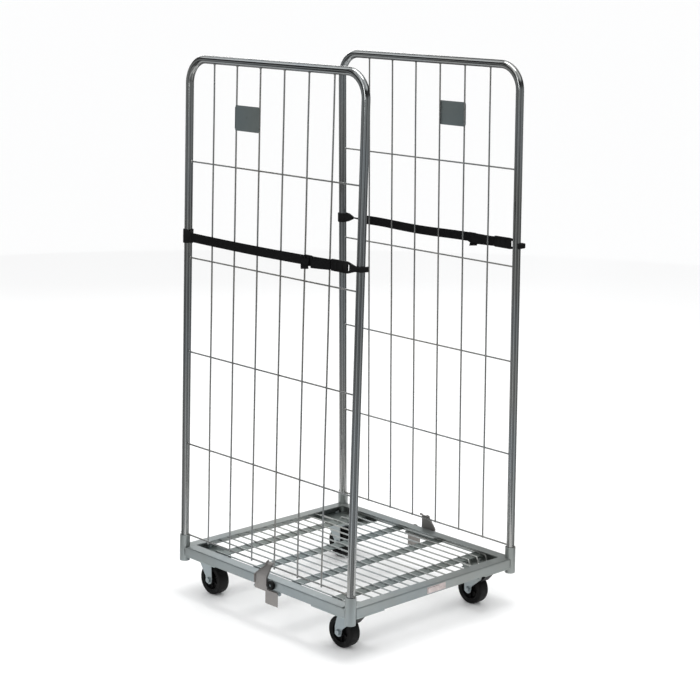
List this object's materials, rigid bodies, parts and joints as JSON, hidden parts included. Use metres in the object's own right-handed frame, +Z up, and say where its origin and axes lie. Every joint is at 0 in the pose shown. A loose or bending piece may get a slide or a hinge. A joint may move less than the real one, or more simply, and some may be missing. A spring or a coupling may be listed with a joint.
{
  "type": "roll cage container",
  "caption": "Two-sided roll cage container: wheeled wire-floor base, lift-out wire side panels, webbing straps, foot latches and braked swivel casters.",
  "frame": {"origin": "on the ground under the middle of the base", "axes": "+Z up; side panels at -X and +X; open front with the braked swivel casters at -Y, open rear with the fixed casters at +Y"},
  "size_m": [0.7456, 0.818, 1.7262],
  "materials": {
    "zinc_steel": "zinc plated, satin, cool grey",
    "zinc_tube": "bright zinc plated tube",
    "zinc_wire": "zinc plated wire",
    "zinc_sheet": "zinc plated sheet, matt grey",
    "zinc_caster": "blue zinc plated pressings",
    "blank_label": "blank sticker, faded pink grey",
    "black_rubber": "black rubber, matt",
    "black_plastic": "black moulded plastic, fine texture",
    "strap_rubber": "black rubber loop, satin",
    "black_webbing": "black woven polyester webbing"
  },
  "bodies": {
    "base": {"side_rail_left": "zinc_steel", "side_rail_right": "zinc_steel", "front_rail": "zinc_steel", "rear_rail": "zinc_steel", "corner_socket_front_left": "zinc_steel", "corner_socket_front_right": "zinc_steel", "corner_socket_rear_left": "zinc_steel", "corner_socket_rear_right": "zinc_steel", "corner_plate_front_left": "zinc_steel", "corner_plate_front_right": "zinc_steel", "corner_plate_rear_left": "zinc_steel", "corner_plate_rear_right": "zinc_steel", "floor_grid": "zinc_steel", "front_label": "blank_label", "latch_bracket_left": "zinc_steel", "latch_pin_left": "zinc_steel", "rail_buffer_left": "black_rubber", "swivel_plate_front_left": "zinc_caster", "kingpin_front_left": "zinc_caster", "fixed_fork_rear_left": "zinc_caster", "axle_bolt_rear_left": "zinc_caster", "latch_bracket_right": "zinc_steel", "latch_pin_right": "zinc_steel", "rail_buffer_right": "black_rubber", "swivel_plate_front_right": "zinc_caster", "kingpin_front_right": "zinc_caster", "fixed_fork_rear_right": "zinc_caster", "axle_bolt_rear_right": "zinc_caster"},
    "panel_left": {"tube_frame_left": "zinc_tube", "wire_mesh_left": "zinc_wire", "card_plate_left": "zinc_sheet"},
    "strap_left": {"strap_loop_left": "strap_rubber", "strap_webbing_left": "black_webbing", "strap_slide_left": "black_plastic", "strap_hook_left": "black_plastic"},
    "latch_left": {"latch_plate_left": "zinc_steel"},
    "swivel_left": {"swivel_fork_front_left": "zinc_caster", "axle_bolt_front_left": "zinc_caster"},
    "brake_left": {"brake_pedal_front_left": "black_plastic"},
    "wheel_front_left": {"tyre_front_left": "black_rubber", "wheel_hub_front_left": "black_plastic"},
    "wheel_rear_left": {"tyre_rear_left": "black_rubber", "wheel_hub_rear_left": "black_plastic"},
    "panel_right": {"tube_frame_right": "zinc_tube", "wire_mesh_right": "zinc_wire", "card_plate_right": "zinc_sheet"},
    "strap_right": {"strap_loop_right": "strap_rubber", "strap_webbing_right": "black_webbing", "strap_slide_right": "black_plastic", "strap_hook_right": "black_plastic"},
    "latch_right": {"latch_plate_right": "zinc_steel"},
    "swivel_right": {"swivel_fork_front_right": "zinc_caster", "axle_bolt_front_right": "zinc_caster"},
    "brake_right": {"brake_pedal_front_right": "black_plastic"},
    "wheel_front_right": {"tyre_front_right": "black_rubber", "wheel_hub_front_right": "black_plastic"},
    "wheel_rear_right": {"tyre_rear_right": "black_rubber", "wheel_hub_rear_right": "black_plastic"}
  },
  "joints": [
    {"name": "latch_left_open", "type": "hinge", "parent": "base", "child": "latch_left", "pos_m": [-0.3605, 0, 0.1245], "axis": [0, -1, 0], "range_deg": [0, 75]},
    {"name": "panel_left_lift", "type": "slide", "parent": "base", "child": "panel_left", "axis": [0.0201, 0, 0.9998], "range_m": [0, 0.09]},
    {"name": "strap_left_swing", "type": "hinge", "parent": "panel_left", "child": "strap_left", "pos_m": [-0.33059, 0.3885, 1.16681], "axis": [0.0201, 0, 0.9998], "range_deg": [-170, 0]},
    {"name": "swivel_front_left", "type": "hinge", "parent": "base", "child": "swivel_left", "pos_m": [-0.284, -0.331, 0.11], "axis": [0, 0, 1], "continuous": true},
    {"name": "brake_front_left", "type": "hinge", "parent": "swivel_left", "child": "brake_left", "pos_m": [-0.284, -0.338, 0.1], "axis": [1, 0, 0], "range_deg": [0, 20]},
    {"name": "wheel_front_left_spin", "type": "hinge", "parent": "swivel_left", "child": "wheel_front_left", "pos_m": [-0.284, -0.2935, 0.05], "axis": [1, 0, 0], "continuous": true},
    {"name": "wheel_rear_left_spin", "type": "hinge", "parent": "base", "child": "wheel_rear_left", "pos_m": [-0.284, 0.318, 0.05], "axis": [1, 0, 0], "continuous": true},
    {"name": "latch_right_open", "type": "hinge", "parent": "base", "child": "latch_right", "pos_m": [0.3605, 0, 0.1245], "axis": [0, 1, 0], "range_deg": [0, 75]},
    {"name": "panel_right_lift", "type": "slide", "parent": "base", "child": "panel_right", "axis": [-0.0201, 0, 0.9998], "range_m": [0, 0.09]},
    {"name": "strap_right_swing", "type": "hinge", "parent": "panel_right", "child": "strap_right", "pos_m": [0.33059, 0.3885, 1.16681], "axis": [-0.0201, 0, 0.9998], "range_deg": [0, 170]},
    {"name": "swivel_front_right", "type": "hinge", "parent": "base", "child": "swivel_right", "pos_m": [0.284, -0.331, 0.11], "axis": [0, 0, 1], "continuous": true},
    {"name": "brake_front_right", "type": "hinge", "parent": "swivel_right", "child": "brake_right", "pos_m": [0.284, -0.338, 0.1], "axis": [1, 0, 0], "range_deg": [0, 20]},
    {"name": "wheel_front_right_spin", "type": "hinge", "parent": "swivel_right", "child": "wheel_front_right", "pos_m": [0.284, -0.2935, 0.05], "axis": [1, 0, 0], "continuous": true},
    {"name": "wheel_rear_right_spin", "type": "hinge", "parent": "base", "child": "wheel_rear_right", "pos_m": [0.284, 0.318, 0.05], "axis": [1, 0, 0], "continuous": true}
  ],
  "couplings": [
    {"joint": "latch_left_open", "follows": "panel_left_lift", "rad_per_m": 14.54},
    {"joint": "latch_right_open", "follows": "panel_right_lift", "rad_per_m": 14.54}
  ]
}
